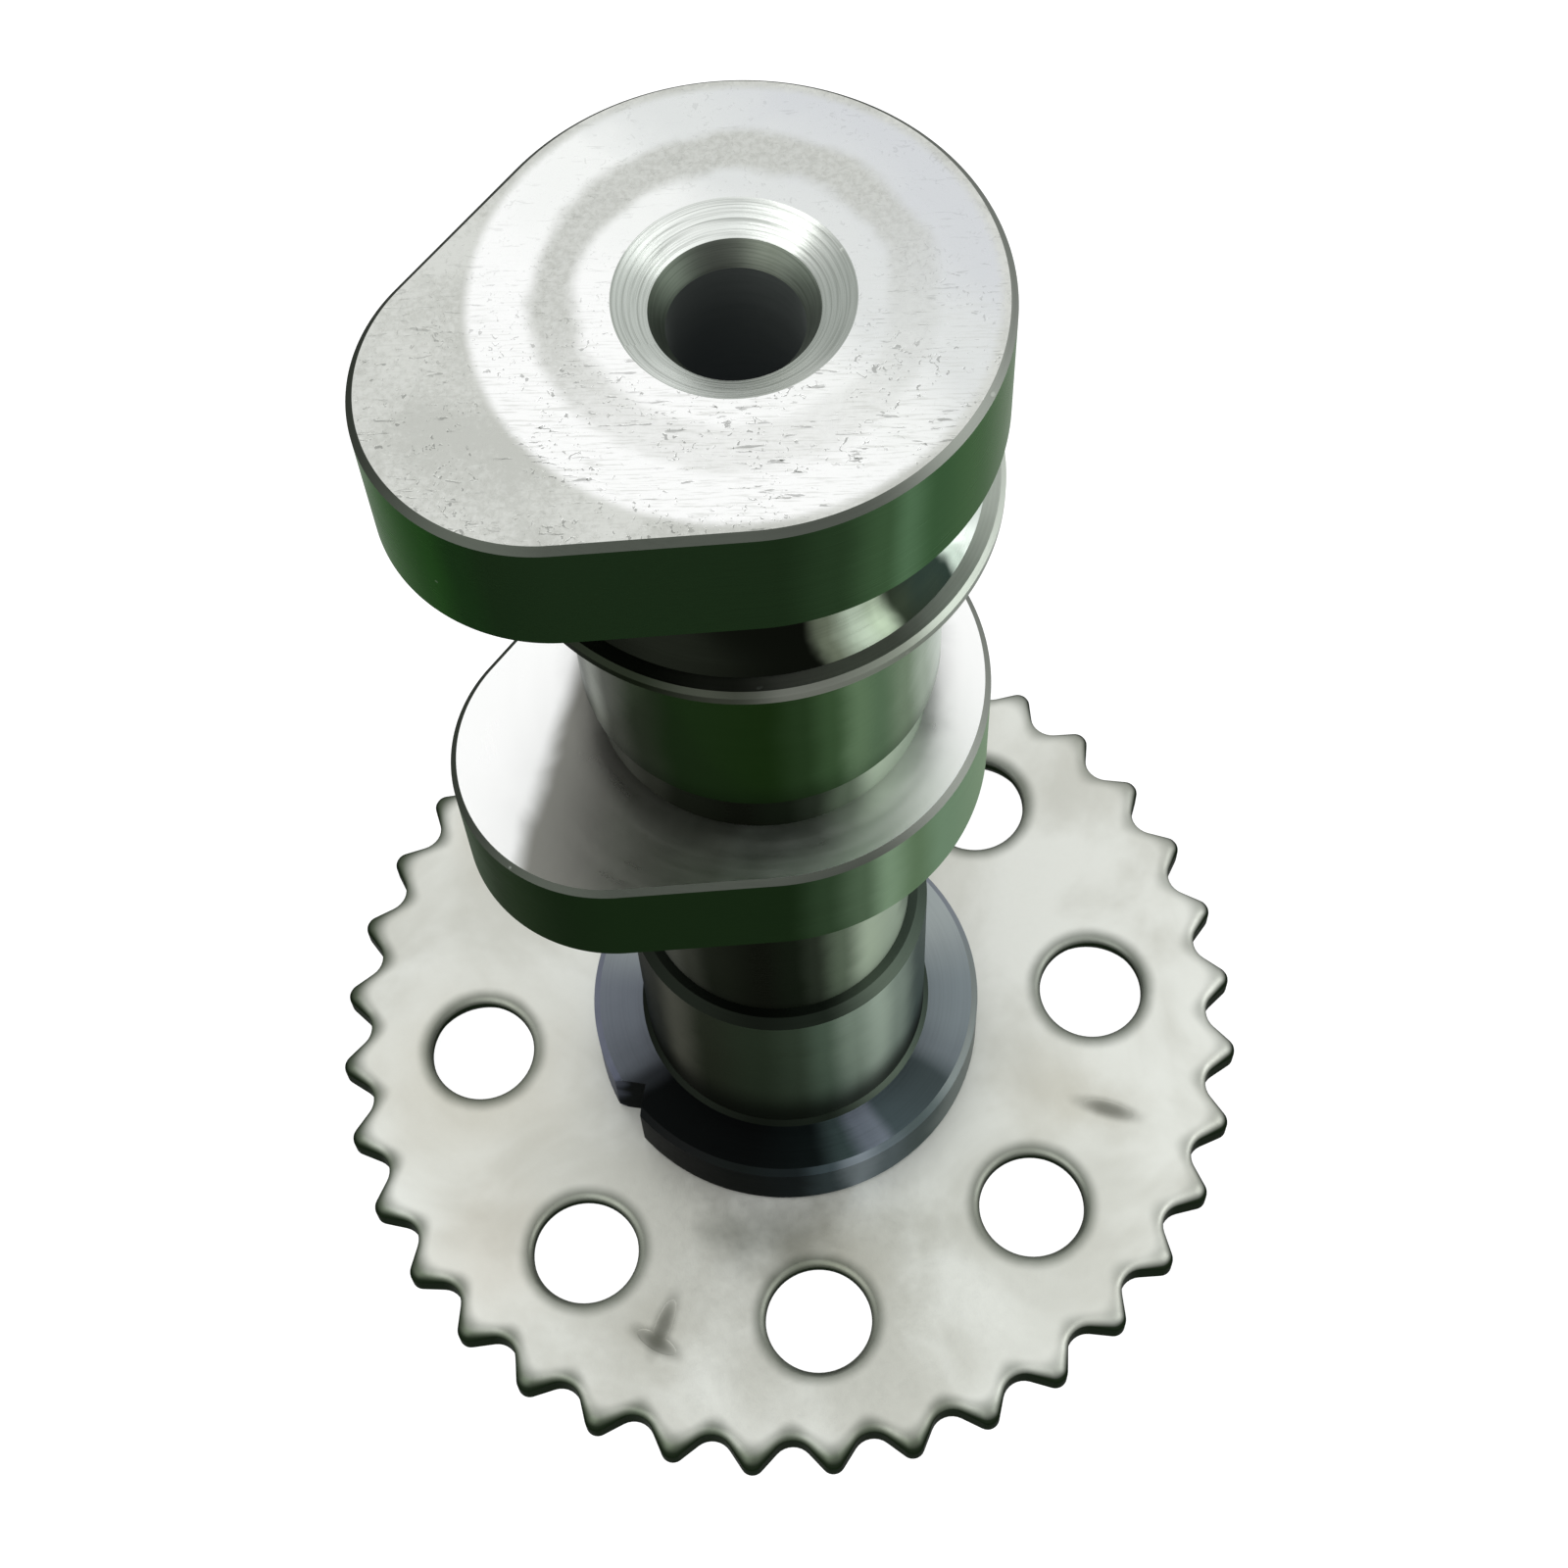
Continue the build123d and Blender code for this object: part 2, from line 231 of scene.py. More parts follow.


# Each list of tones runs across a wall as seen from viewTurn. Most were read along rows of the photo and
# then shifted, so its reflections are painted on here and don't move with the lamps
# Their dark tones paint shade as well, such as the shadow in the flange's notch
finishes = {
    "edgeSteel": look(
        [(-1.0, (54, 58, 52)), (-0.5, (66, 70, 64)), (0.4, (72, 76, 70)), (1.0, (120, 124, 118))],
        rough=0.5, nick=0.15,
    ),
    "recessSteel": look(
        [(-1.0, (186, 192, 186)), (-0.5, (232, 236, 232)), (0.0, (214, 218, 214)),
         (0.5, (204, 208, 203)), (1.0, (160, 166, 160))],
        rough=0.26, lines=9.0, lineRough=0.3, lineShade=0.45, edge=1.0, dirt=(96, 102, 94), wander=0.5,
    ),
    "coneSteel": look(
        [(-1.0, (120, 130, 118)), (-0.3, (86, 90, 84)), (0.4, (108, 114, 104)), (1.0, (150, 158, 148))],
        rough=0.4, lines=9.0, lineShade=0.35, edge=1.0, dirt=(44, 48, 42),
    ),
    # the bore's wall glows faintly: painted light in its dark hollow
    "boreSteel": look(
        [(-1.0, (110, 115, 111)), (1.0, (130, 136, 132))],
        rough=0.55, nick=0.0, glow=(17, 19, 20),
    ),
    "lobeSide": look(
        [(-1.0, (46, 74, 36)), (-0.9, (32, 70, 22)), (-0.6, (26, 54, 21)), (-0.42, (22, 40, 20)),
         (-0.25, (22, 35, 20)), (0.15, (23, 36, 21)), (0.35, (32, 48, 30)), (0.52, (50, 72, 48)),
         (0.6, (68, 94, 68)), (0.7, (50, 76, 49)), (0.85, (56, 84, 52)), (1.0, (74, 98, 68))],
        follows="normal", rough=0.25, wander=0.05, metal=0.4, nickScale=0.35, nickSize=0.045,
        back=(88, 94, 89),
    ),
    "lowerLobeSide": look(
        [(-1.0, (50, 64, 42)), (-0.9, (34, 50, 29)), (-0.7, (24, 37, 19)), (-0.3, (18, 30, 15)),
         (0.1, (20, 33, 17)), (0.27, (38, 54, 36)), (0.43, (66, 84, 64)), (0.55, (104, 126, 102)),
         (0.67, (82, 104, 78)), (0.78, (96, 120, 96)), (1.0, (104, 126, 100))],
        follows="normal", rough=0.4, wander=0.08, nick=0.0, metal=0.4, back=(88, 94, 89),
    ),
    "upperJournal": look(
        [(-1.0, (90, 96, 88)), (-0.94, (60, 66, 56)), (-0.86, (118, 122, 114)), (-0.77, (70, 73, 66)),
         (-0.6, (40, 47, 36)), (-0.4, (27, 40, 23)), (0.05, (24, 38, 19)), (0.25, (34, 50, 30)),
         (0.4, (50, 70, 46)), (0.55, (84, 106, 80)), (0.65, (78, 100, 76)), (0.8, (104, 122, 100)),
         (0.9, (150, 164, 148)), (1.0, (196, 206, 196))],
        rough=0.2, wander=0.1, nick=0.0, footShade=(66.0, 69.0, 0.4), metal=0.6, back=(128, 134, 129),
    ),
    "lowerJournal": look(
        [(-1.0, (12, 16, 12)), (-0.85, (32, 34, 30)), (-0.7, (62, 63, 56)), (-0.5, (32, 36, 28)),
         (-0.15, (34, 42, 32)), (0.1, (44, 54, 43)), (0.3, (66, 80, 68)), (0.5, (108, 122, 110)),
         (0.67, (138, 152, 140)), (0.8, (112, 125, 116)), (0.95, (60, 71, 68))],
        rough=0.4, wander=0.1, nick=0.0, footShade=(10.0, 16.0, 0.85), metal=0.5, back=(98, 103, 100),
    ),
    "neckSteel": look(
        [(-1.0, (70, 74, 68)), (-0.8, (66, 68, 62)), (-0.65, (46, 48, 42)), (-0.47, (24, 27, 21)),
         (-0.1, (17, 19, 14)), (0.15, (20, 25, 18)), (0.3, (36, 42, 34)), (0.5, (80, 92, 77)),
         (0.7, (146, 160, 142)), (0.9, (138, 152, 136)), (1.0, (104, 116, 104))],
        rough=0.4, nick=0.0, metal=0.5, back=(96, 100, 97),
    ),
    "stepSteel": look(
        [(-1.0, (26, 30, 25)), (-0.2, (14, 17, 13)), (0.3, (26, 32, 26)), (0.7, (72, 82, 72)),
         (1.0, (60, 70, 62))],
        rough=0.5, nick=0.0,
    ),
    "shoulderSteel": look(
        [(-13.0, (254, 255, 254)), (-11.2, (138, 138, 132)), (-8.5, (138, 138, 132)), (-5.5, (144, 146, 138)),
         (0.0, (158, 164, 152)), (2.5, (180, 190, 178)), (5.0, (220, 230, 220)), (7.5, (246, 251, 247)),
         (12.5, (254, 255, 254))],
        follows="across", slant=0.24, wander=1.6, rough=0.3, lines=1.0, lineShade=0.0, lineDepth=0.0006,
        nick=0.0, edge=1.0, rootShade=(12.0, 15.2, 0.5), dirt=(34, 33, 28),
    ),
    "sweepSteel": look(
        [(-1.0, (30, 34, 28)), (-0.9, (14, 16, 12)), (0.28, (11, 13, 9)), (0.38, (96, 104, 88)),
         (0.48, (160, 174, 156)), (0.58, (140, 154, 134)), (0.68, (26, 32, 24)), (0.8, (20, 28, 24)),
         (0.86, (120, 130, 122)), (0.94, (190, 198, 192))],
        wander=0.22, patch=0.22, nick=0.0, back=(120, 126, 121),
    ),
    "rimSteel": look(
        [(-1.0, (26, 30, 24)), (-0.4, (22, 26, 19)), (-0.05, (52, 55, 48)), (0.2, (100, 103, 96)),
         (0.55, (108, 114, 104)), (0.8, (140, 147, 138)), (1.0, (180, 187, 178))],
        wander=0.2, rough=0.4, nick=0.2,
    ),
    "flangeSteel": look(
        [(-1.0, (98, 102, 114)), (-0.91, (80, 84, 96)), (-0.84, (16, 18, 18)), (-0.55, (16, 17, 17)),
         (-0.2, (15, 18, 17)), (0.05, (22, 27, 28)), (0.22, (52, 62, 65)), (0.38, (112, 121, 127)),
         (0.54, (84, 94, 98)), (0.7, (66, 76, 76)), (0.88, (104, 112, 111)), (1.0, (110, 117, 115))],
        wander=0.2, rough=0.42, nick=0.0, metal=0.8, back=(124, 130, 138), backFrom=0.05, backFull=0.6,
    ),
    "flangeTop": look(
        [(-1.0, (110, 116, 124)), (-0.92, (96, 101, 108)), (-0.82, (44, 47, 50)), (-0.76, (16, 18, 18)),
         (-0.2, (15, 17, 17)), (0.15, (22, 28, 28)), (0.33, (64, 78, 78)), (0.46, (114, 122, 134)),
         (0.53, (120, 128, 140)), (0.61, (76, 88, 92)), (0.84, (70, 80, 82)), (0.93, (118, 127, 132)),
         (1.0, (128, 138, 142))],
        wander=0.1, rough=0.5, nick=0.0, back=(158, 166, 166), backFrom=0.0, backFull=0.5,
        rootShade=(11.4, 13.2, 0.7),
    ),
}


# The end face: painted shading, lighter to the front and left and darker to the back and right, with a faint
# mottled ring between facing marks, fine scratches and dark pits across it

endFace = {
    "bandEdges": (8.3, 10.8, 14.0),
    "paintedShades": [
        (-9.0, (250, 251, 250)), (0.0, (243, 245, 243)), (8.0, (222, 225, 224)), (18.0, (211, 214, 217)),
    ],
    "mottled": [(188, 190, 184), (204, 206, 201)],
    "outer": [(194, 196, 190), (214, 216, 211)],
    "scratch": (104, 106, 102),
}


def endFaceSteel():
    paint = Paint("endFaceSteel")
    spot = paint.place()
    along = paint.place(viewTurn)
    x, y, z = paint.parts(spot)
    across, away, up = paint.parts(along)
    reach = (x * x + y * y) ** 0.5
    radius = reach + (paint.noise(spot, 0.3, 3.0) - 0.5) * 1.6
    first, second, third = endFace["bandEdges"]
    flecks = paint.noise(spot, 2.6, 5.0, 0.75, 0.4)
    cloud = paint.noise(spot, 0.16, 3.0, 0.5, 0.3)
    # painted shading: lighter to the front and left, darker to the back and right
    shadedTone = paint.ramp(across + away + (cloud - 0.5) * 12.0, endFace["paintedShades"])
    dull, pale = [linear(shade) for shade in endFace["mottled"]]
    ringShare = radius.band(first, second, 0.5) * (0.3 + (away - across * 0.5).rise(-8.0, 5.0) * 0.6)
    colour = paint.blend(ringShare, shadedTone, paint.blend(flecks.rise(0.38, 0.62), dull, pale))
    dull, pale = [linear(shade) for shade in endFace["outer"]]
    outer = paint.blend((flecks * 0.5 + cloud * 0.5).rise(0.4, 0.6), dull, pale)
    edge = reach + (flecks - 0.5) * 0.6
    colour = paint.blend(edge.rise(third - 0.35, third + 0.35), colour, outer)
    front = 1 - away.rise(-8.0, 5.0)
    fine = paint.noise(paint.stretched(along, (0.5, 7.0, 1.0)), 1.0, 4.0, 0.65, 0.3)
    colour = paint.blend((1 - fine.rise(0.34, 0.5)) * 0.45 * front, colour, linear(endFace["outer"][0]))
    hair = paint.noise(paint.stretched(along, (0.6, 3.6, 1.0)), 1.0, 3.0, 0.6, 0.6)
    where = paint.noise(along, 0.28, 2.0).rise(0.42, 0.54)
    scratch = hair.rise(0.61, 0.66) * where * (0.25 + front * 0.75)
    crumbs = paint.noise(along, 2.2, 2.0, 0.6, 1.4).rise(0.62, 0.66)
    crumbs = crumbs * paint.noise(along, 0.3, 2.0).rise(0.42, 0.54)
    pits = crumbs * (0.25 + front * 0.75)
    colour = paint.blend(scratch * 0.5 + pits * 0.55, colour, linear(endFace["scratch"]))
    rings = paint.noise(paint.joined(radius * 5.0, 0.0, 0.0), 1.0, 3.0, 0.6)
    rough = 0.3 + (flecks - 0.5) * 0.25 + (rings - 0.5) * 0.1
    height = rings * 0.003 + flecks * 0.006 - scratch * 0.02 - pits * 0.02
    return paint.finish(colour, rough, 1.0, paint.bump(height, 1.0, 0.7))


# The sprocket's sizes, and the strokes of its two timing marks as reach, turn, tilt, length and width

sprocket = {
    "teeth": 36, "cornersPerTooth": 18, "tipTurn": 157.25, "tipTurnAsMade": 155.0, "thick": 2.8,
    "pitchRadius": 36.4295, "seatRadius": 1.68, "flankTurn": 133.0, "tipRadius": 37.0295,
    "edgeRound": 0.6, "tipPull": 0.7, "tipDrop": 1.2, "rimSteps": 7, "flatRing": 0.2,
    "holeTurn": -22.75, "holes": 8, "holeCircle": 25.4, "holeCorners": 64, "spigotCorners": 120,
    "holeProfile": [
        (4.95, -0.3), (4.2, 1.7), (4.2, 2.2), (4.22, 2.38), (4.28, 2.53), (4.4, 2.66), (4.57, 2.75),
        (4.8, 2.81), (5.4, 3.2),
    ],
    "spigotHole": 9.5,
}
marks = {
    "depth": 0.04,
    "strokes": [(27.45, 314.3, 0, 4.2, 1.3), (27.45, 220.9, 0, 4.2, 1.3), (29.0, 220.9, 80, 3.6, 1.3)],
}


# Its tumbled plate: soft clouds and brownish stains, with painted shade in dark patches in front of the
# flange and on edges that darken round the teeth, holes and marks

plateLook = {
    "light": (219, 221, 215),
    "dark": (199, 200, 192),
    # wall and rim are painted shade on the plate's walls and rounded edges
    "wall": (30, 38, 27),
    "rim": (62, 72, 56),
    "mark": (84, 86, 76),
    "rimTop": (2.2, 2.75),
    "shadeRadius": 35.6,
    "shadeSwing": 0.85,
    "stainsAndShade": [
        # the first two, dark and just in front of the flange, are painted shade; the rest are brownish stains
        (-8.7, -17.2, 5.5, 0.6, (88, 91, 80)), (-12.2, -14.2, 4.5, 0.6, (88, 91, 80)),
        (-7.0, -21.0, 7.0, 0.3, (160, 154, 134)),
        (19.2, -19.7, 5.0, 0.3, (150, 144, 124)), (-21.4, -18.8, 5.0, 0.3, (150, 148, 132)),
        (-25.0, 8.0, 13.0, 0.5, (184, 179, 162)), (-30.0, -6.0, 9.0, 0.35, (182, 174, 158)),
        (16.0, -16.0, 6.0, 0.3, (176, 170, 150)), (-13.0, 27.0, 7.0, 0.35, (174, 166, 148)),
    ],
}


def plateSteel():
    paint = Paint("plateSteel")
    spot = paint.place()
    x, y, z = paint.parts(spot)
    reach = (x * x + y * y) ** 0.5
    turn = paint.node("ShaderNodeMath", {"operation": "ARCTAN2"}, {0: y, 1: x})
    cloud = paint.noise(spot, 0.07, 4.0, 0.55, 0.5)
    grain = paint.noise(spot, 1.6, 4.0, 0.65)
    wander = (paint.noise(spot, 0.3, 3.0) - 0.5) * 4.0
    colour = paint.blend(cloud.rise(0.36, 0.64), linear(plateLook["dark"]), linear(plateLook["light"]))
    # brownish stains, and painted shade in front of the flange
    for blotchX, blotchY, size, share, shade in plateLook["stainsAndShade"]:
        away = ((x - blotchX) * (x - blotchX) + (y - blotchY) * (y - blotchY)) ** 0.5 + wander
        colour = paint.blend((1 - away.rise(0.0, size)) * share, colour, linear(shade))
    # painted shade along the tooth edges, weaker to the viewer's right
    inTooth = (turn - math.radians(sprocket["tipTurn"])) * sprocket["teeth"]
    toEdge = paint.cosine(inTooth) * plateLook["shadeSwing"] + plateLook["shadeRadius"] - reach + wander * 0.1
    across = paint.parts(paint.place(viewTurn))[0]
    rimShare = 0.95 - across.rise(6.0, 28.0) * 0.4
    colour = paint.blend((1 - toEdge.rise(0.0, 1.7)) * rimShare, colour, linear(plateLook["rim"]))
    # painted shade round the hole rims
    pitch = math.pi / sprocket["holes"]
    fromHole = turn - math.radians(sprocket["holeTurn"])
    fromHole = paint.node("ShaderNodeMath", {"operation": "WRAP"}, {0: fromHole, 1: pitch, 2: -pitch})
    alongHole = reach * paint.cosine(fromHole) - sprocket["holeCircle"]
    acrossHole = reach * paint.cosine(fromHole - math.pi / 2)
    toHole = (alongHole * alongHole + acrossHole * acrossHole) ** 0.5 + wander * 0.08
    colour = paint.blend((1 - toHole.rise(4.4, 5.7)) * 0.75, colour, linear(plateLook["rim"]))
    for radius, place, tilt, length, width in marks["strokes"]:
        way = math.radians(place + tilt)
        fromX = x - radius * math.cos(math.radians(place))
        fromY = y - radius * math.sin(math.radians(place))
        endwise = (fromX * math.cos(way) + fromY * math.sin(way)) * (2 / length)
        sidewise = (fromY * math.cos(way) - fromX * math.sin(way)) * (2 / width)
        inside = (endwise * endwise + sidewise * sidewise) ** 0.5 + wander * 0.15
        colour = paint.blend((1 - inside.rise(0.2, 1.8)) * 0.75, colour, linear(plateLook["mark"]))
    # painted shade on the walls below the rounded top edge
    colour = paint.blend(1 - z.rise(*plateLook["rimTop"]), colour, linear(plateLook["wall"]))
    rough = 0.52 + (grain - 0.5) * 0.16 + (cloud - 0.5) * 0.1
    return paint.finish(colour, rough, 1.0, paint.bump(grain, 0.01, 0.5), 0.4)


# The shaft is grown upwards from one disc, ring by ring, and the bore goes back down inside it

shaft = {
    "corners": 240,
    "noseTurn": 180.0,
    "noseOffset": 11.0,
    "noseRadius": 10.3,
    "baseRadius": 14.85,
    "lobeEdge": 0.4,
    "lobeWidth": 9.5,
    "lowerLobe": 52.5,
    "upperLobe": 93.6,
    "below": [
        (0.05, 6.9), (4.0, 0.0), (9.1, 0.0), (9.5, 0.4), (9.5, 2.8), (15.1, 2.8), (15.6, 3.3), (15.6, 8.3),
        (15.1, 8.8), (11.6, 8.8), (11.2, 9.2), (11.2, 28.3), (10.5, 29.0), (9.8, 29.0), (9.8, 51.6),
        (10.7, 52.5),
    ],
    "between": [
        (10.8, 62.0), (10.8, 66.2), (11.15, 66.2), (11.5, 66.55), (11.5, 85.0), (11.9, 85.4), (14.55, 85.4),
        (14.85, 85.7), (14.85, 86.3), (14.55, 86.6), (13.65, 86.6),
    ],
    "sweepRadius": 6.111,
    "sweepEnd": (10.4, 92.0),
    "sweepTurn": 62.09,
    "sweepSteps": 12,
    "inside": [(6.5, 103.1), (4.6, 102.003), (3.75, 100.531), (3.75, 41.1), (0.05, 38.85)],
}
ring = {}


def startDisc(name, corners, radius, height):
    bpy.ops.object.select_all(action="DESELECT")
    bpy.ops.mesh.primitive_circle_add(
        vertices=corners, radius=radius * mm, fill_type="NGON", location=(0, 0, height * mm)
    )
    piece = bpy.context.object
    piece.name = name
    bpy.ops.object.transform_apply(location=True)
    bpy.ops.object.mode_set(mode="EDIT")
    bpy.ops.mesh.select_mode(type="VERT")
    bpy.ops.mesh.select_all(action="SELECT")
    ring.update(radius=radius, height=height, nose=None, cap=set(range(corners)))
    return piece


def closeMesh():
    bpy.ops.mesh.select_all(action="SELECT")
    bpy.ops.mesh.normals_make_consistent(inside=False)
    bpy.ops.object.mode_set(mode="OBJECT")


def choose(corners):
    mesh = bmesh.from_edit_mesh(bpy.context.object.data)
    for corner in mesh.verts:
        corner.select = corner.index in corners
    mesh.select_flush_mode()
    bmesh.update_edit_mesh(bpy.context.object.data)


def cornersOfNose():
    mesh = bmesh.from_edit_mesh(bpy.context.object.data)
    toNose = Vector((math.cos(math.radians(shaft["noseTurn"])), math.sin(math.radians(shaft["noseTurn"]))))
    limit = math.acos((shaft["baseRadius"] - shaft["noseRadius"]) / shaft["noseOffset"])
    mesh.verts.ensure_lookup_table()
    found = set()
    for index in ring["cap"]:
        flat = mesh.verts[index].co.xy
        if flat.angle(toNose) < limit:
            found.add(index)
    return found


def scaleChosen(factor):
    bpy.ops.transform.resize(value=(factor, factor, 1), center_override=(0, 0, 0))


def moveNose(distance):
    turn = math.radians(shaft["noseTurn"])
    step = (distance * mm * math.cos(turn), distance * mm * math.sin(turn), 0)
    bpy.ops.transform.translate(value=step)


def growRing(radius, height, noseRadius=None):
    bpy.ops.mesh.extrude_region_move(TRANSFORM_OT_translate={"value": (0, 0, (height - ring["height"]) * mm)})
    mesh = bmesh.from_edit_mesh(bpy.context.object.data)
    ring["cap"] = {v.index for v in mesh.verts if v.select}
    order = sorted(ring["cap"])
    if ring["nose"]:
        choose({order[place] for place in ring["noseOrder"]})
        moveNose(-shaft["noseOffset"])
        scaleChosen(ring["radius"] / ring["nose"])
        choose(ring["cap"])
    scaleChosen(radius / ring["radius"])
    if noseRadius:
        nose = cornersOfNose()
        ring["noseOrder"] = [place for place, index in enumerate(order) if index in nose]
        choose(nose)
        scaleChosen(noseRadius / radius)
        moveNose(shaft["noseOffset"])
        choose(ring["cap"])
    ring.update(radius=radius, height=height, nose=noseRadius)


def growLobe(bottom):
    base, nose, edge = shaft["baseRadius"], shaft["noseRadius"], shaft["lobeEdge"]
    top = bottom + shaft["lobeWidth"]
    growRing(base - edge, bottom, nose - edge)
    growRing(base, bottom + edge, nose)
    growRing(base, top - edge, nose)
    growRing(base - edge, top, nose - edge)


def sweep():
    radius, height = shaft["sweepEnd"]
    bend, turn, steps = shaft["sweepRadius"], shaft["sweepTurn"], shaft["sweepSteps"]
    rings = []
    for step in range(1, steps + 1):
        angle = math.radians(180 + turn * (1 - step / steps))
        rings.append((radius + bend + bend * math.cos(angle), height + bend * math.sin(angle)))
    return rings


def makeShaft():
    startRadius, startHeight = shaft["below"][0]
    piece = startDisc("camshaftPiece", shaft["corners"], startRadius, startHeight)
    for radius, height in shaft["below"][1:]:
        growRing(radius, height)
    growLobe(shaft["lowerLobe"])
    for radius, height in shaft["between"] + sweep():
        growRing(radius, height)
    growRing(shaft["sweepEnd"][0], shaft["upperLobe"])
    growLobe(shaft["upperLobe"])
    for radius, height in shaft["inside"]:
        growRing(radius, height)
    closeMesh()
    return piece


def cut(piece, cutter):
    knife = piece.modifiers.new("cut", "BOOLEAN")
    knife.object = cutter
    knife.operation = "DIFFERENCE"
    knife.solver = "EXACT"
    bpy.context.view_layer.objects.active = piece
    bpy.ops.object.modifier_apply(modifier=knife.name)
    bpy.data.objects.remove(cutter)


notch = {"turn": 187.0, "innerRadius": 13.7, "size": 8.0, "height": 5.8}


def cutNotch(piece):
    turn = math.radians(notch["turn"])
    reach = (notch["innerRadius"] + notch["size"] / math.sqrt(2)) * mm
    bpy.ops.object.select_all(action="DESELECT")
    bpy.ops.mesh.primitive_cube_add(
        size=notch["size"] * mm,
        location=(reach * math.cos(turn), reach * math.sin(turn), notch["height"] * mm),
        rotation=(0, 0, turn + math.pi / 4),
    )
    cutter = bpy.context.object
    cut(piece, cutter)


zones = {  # where each finish ends, as heights and distances from the axis
    "endFace": 103.0, "recess": (6.6, 102.0), "cone": (4.8, 100.5), "bore": (3.8, 30, 101),
    "upperLobe": 93.55, "lowerLobe": (52.45, 62.05), "sweep": 86.62, "collar": 85.35,
    "upperJournal": 66.3, "lowerJournal": (9.3, 28.25), "step": (28.25, 29.05),
    "foot": (8.75, 9.25, 12), "neck": 28.0, "flangeTop": 8.75,
}


def shaftFinish(centre, normal):
    height = centre.z / mm
    reach = centre.xy.length / mm
    up = normal.z
    if height > zones["endFace"] and up > 0.9:
        return "endFaceSteel"
    if reach < zones["recess"][0] and height > zones["recess"][1]:
        return "recessSteel"
    if reach < zones["cone"][0] and height > zones["cone"][1]:
        return "coneSteel"
    if reach < zones["bore"][0] and zones["bore"][1] < height < zones["bore"][2]:
        return "boreSteel"
    onUpper = height > zones["upperLobe"]
    if onUpper or zones["lowerLobe"][0] < height < zones["lowerLobe"][1]:
        if abs(up) > 0.9:
            return "shoulderSteel"
        if abs(up) > 0.1:
            return "edgeSteel"
        return "lobeSide" if onUpper else "lowerLobeSide"
    if height > zones["sweep"]:
        return "sweepSteel"
    if height > zones["collar"]:
        return "rimSteel"
    if height > zones["upperJournal"]:
        return "upperJournal"
    if zones["lowerJournal"][0] < height < zones["lowerJournal"][1]:
        return "lowerJournal"
    footLow, footHigh, footReach = zones["foot"]
    atFoot = footLow < height < footHigh and reach < footReach
    if atFoot or zones["step"][0] < height < zones["step"][1]:
        return "stepSteel"
    if height > zones["neck"]:
        return "neckSteel"
    return "flangeTop" if height > zones["flangeTop"] else "flangeSteel"


def dress(piece, materials, choice):
    names = list(materials)
    piece.data.materials.clear()
    for name in names:
        piece.data.materials.append(materials[name])
    for face in piece.data.polygons:
        face.material_index = names.index(choice(face.center, face.normal))


def smooth(piece, angle):
    bpy.ops.object.select_all(action="DESELECT")
    piece.select_set(True)
    bpy.context.view_layer.objects.active = piece
    bpy.ops.object.shade_smooth_by_angle(angle=math.radians(angle))


shaftPiece = makeShaft()
cutNotch(shaftPiece)
shaftMaterials = {name: steel(name, finish) for name, finish in finishes.items()}
shaftMaterials["endFaceSteel"] = endFaceSteel()
dress(shaftPiece, shaftMaterials, shaftFinish)
smooth(shaftPiece, 25)
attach(shaftPiece, "root")
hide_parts("camshaft")
print("camshaft modelled:", len(shaftPiece.data.polygons), "faces")

# The sprocket: one disc whose corners are set to the tooth form, then raised to a rounded upper rim


def toothPoints(inset):  # one tooth space from tip to tip, as radius and turn, moved inwards by inset
    pitch, seat = sprocket["pitchRadius"], sprocket["seatRadius"]
    halfStep = math.pi / sprocket["teeth"]
    flank = math.radians(sprocket["flankTurn"])
    into = Vector((math.cos(flank), math.sin(flank)))
    seatEnd = Vector((pitch, 0)) + into * seat
    tipWay = Vector((math.cos(halfStep), math.sin(halfStep)))
    lean = tipWay.dot(into)
    tipRound = (sprocket["tipRadius"] * lean - seatEnd.dot(into)) / (1 + lean)
    tipCentre = tipWay * (sprocket["tipRadius"] - tipRound)
    steps = sprocket["cornersPerTooth"] // 4
    half = []
    for step in range(steps + 1):
        angle = math.pi + (flank - math.pi) * step / steps
        half.append(Vector((pitch, 0)) + Vector((math.cos(angle), math.sin(angle))) * (seat + inset))
    back = flank - math.pi
    for step in range(steps + 1):
        angle = back + (halfStep - back) * step / steps
        half.append(tipCentre + Vector((math.cos(angle), math.sin(angle))) * (tipRound - inset))
    points = half + [Vector((p.x, -p.y)) for p in reversed(half[1:-1])]
    return [(p.length, math.atan2(p.y, p.x) % (2 * halfStep)) for p in points]


def setTooth(inset, pull, drop, height):  # every tooth at once, one corner of the tooth form after another
    corners = sprocket["cornersPerTooth"]
    step = 2 * math.pi / sprocket["teeth"] / corners
    points = toothPoints(inset)
    root = min(radius for radius, turn in points)
    crest = max(radius for radius, turn in points)
    order = sorted(ring["cap"])
    for place, (radius, turn) in enumerate(points):
        share = (radius - root) / (crest - root)
        mesh = bmesh.from_edit_mesh(bpy.context.object.data)
        mesh.verts.ensure_lookup_table()
        chosen = order[place::corners]
        choose(set(chosen))
        scaleChosen((radius - pull * share) * mm / mesh.verts[chosen[0]].co.xy.length)
        flat = mesh.verts[chosen[0]].co.xy
        now = math.atan2(flat.y, flat.x) - math.pi / 2
        bpy.ops.transform.rotate(value=now - turn, orient_axis="Z", center_override=(0, 0, 0))
        level = height - drop * (1 - share) * sprocket["edgeRound"] / sprocket["tipDrop"] - drop * share
        bpy.ops.transform.translate(value=(0, 0, level * mm - mesh.verts[chosen[0]].co.z))
    choose(ring["cap"])


